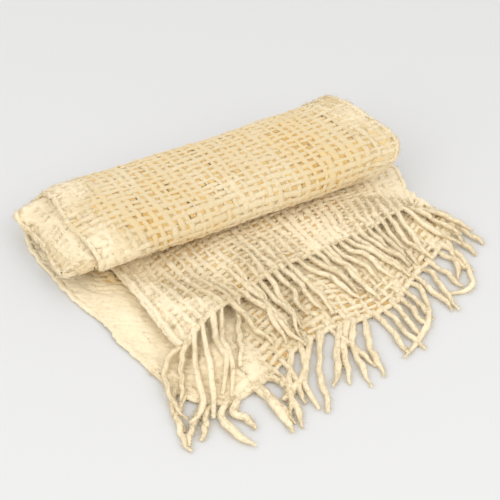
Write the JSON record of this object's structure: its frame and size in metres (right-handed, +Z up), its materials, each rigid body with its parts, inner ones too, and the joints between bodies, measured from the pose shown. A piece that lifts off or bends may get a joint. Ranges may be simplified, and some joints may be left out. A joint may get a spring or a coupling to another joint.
{
  "type": "hand woven wool blanket, folded and rolled",
  "caption": "Open weave wool blanket folded once with its fringed ends together and rolled from the fold, resting on its two fringed flaps.",
  "frame": {"origin": "centre of the blanket's box at the floor it lies on", "axes": "+X along the roll, +Y from the fringed hems towards the roll, +Z up"},
  "size_m": [0.8378, 0.762, 0.134],
  "materials": {
    "wool_cloth": "matte undyed wool",
    "wool_fringe_lower": "matte undyed wool",
    "wool_fringe_upper": "matte undyed wool"
  },
  "bodies": {
    "root": {"blanket_cloth": "wool_cloth", "fringe_lower": "wool_fringe_lower", "fringe_upper": "wool_fringe_upper"}
  },
  "joints": []
}
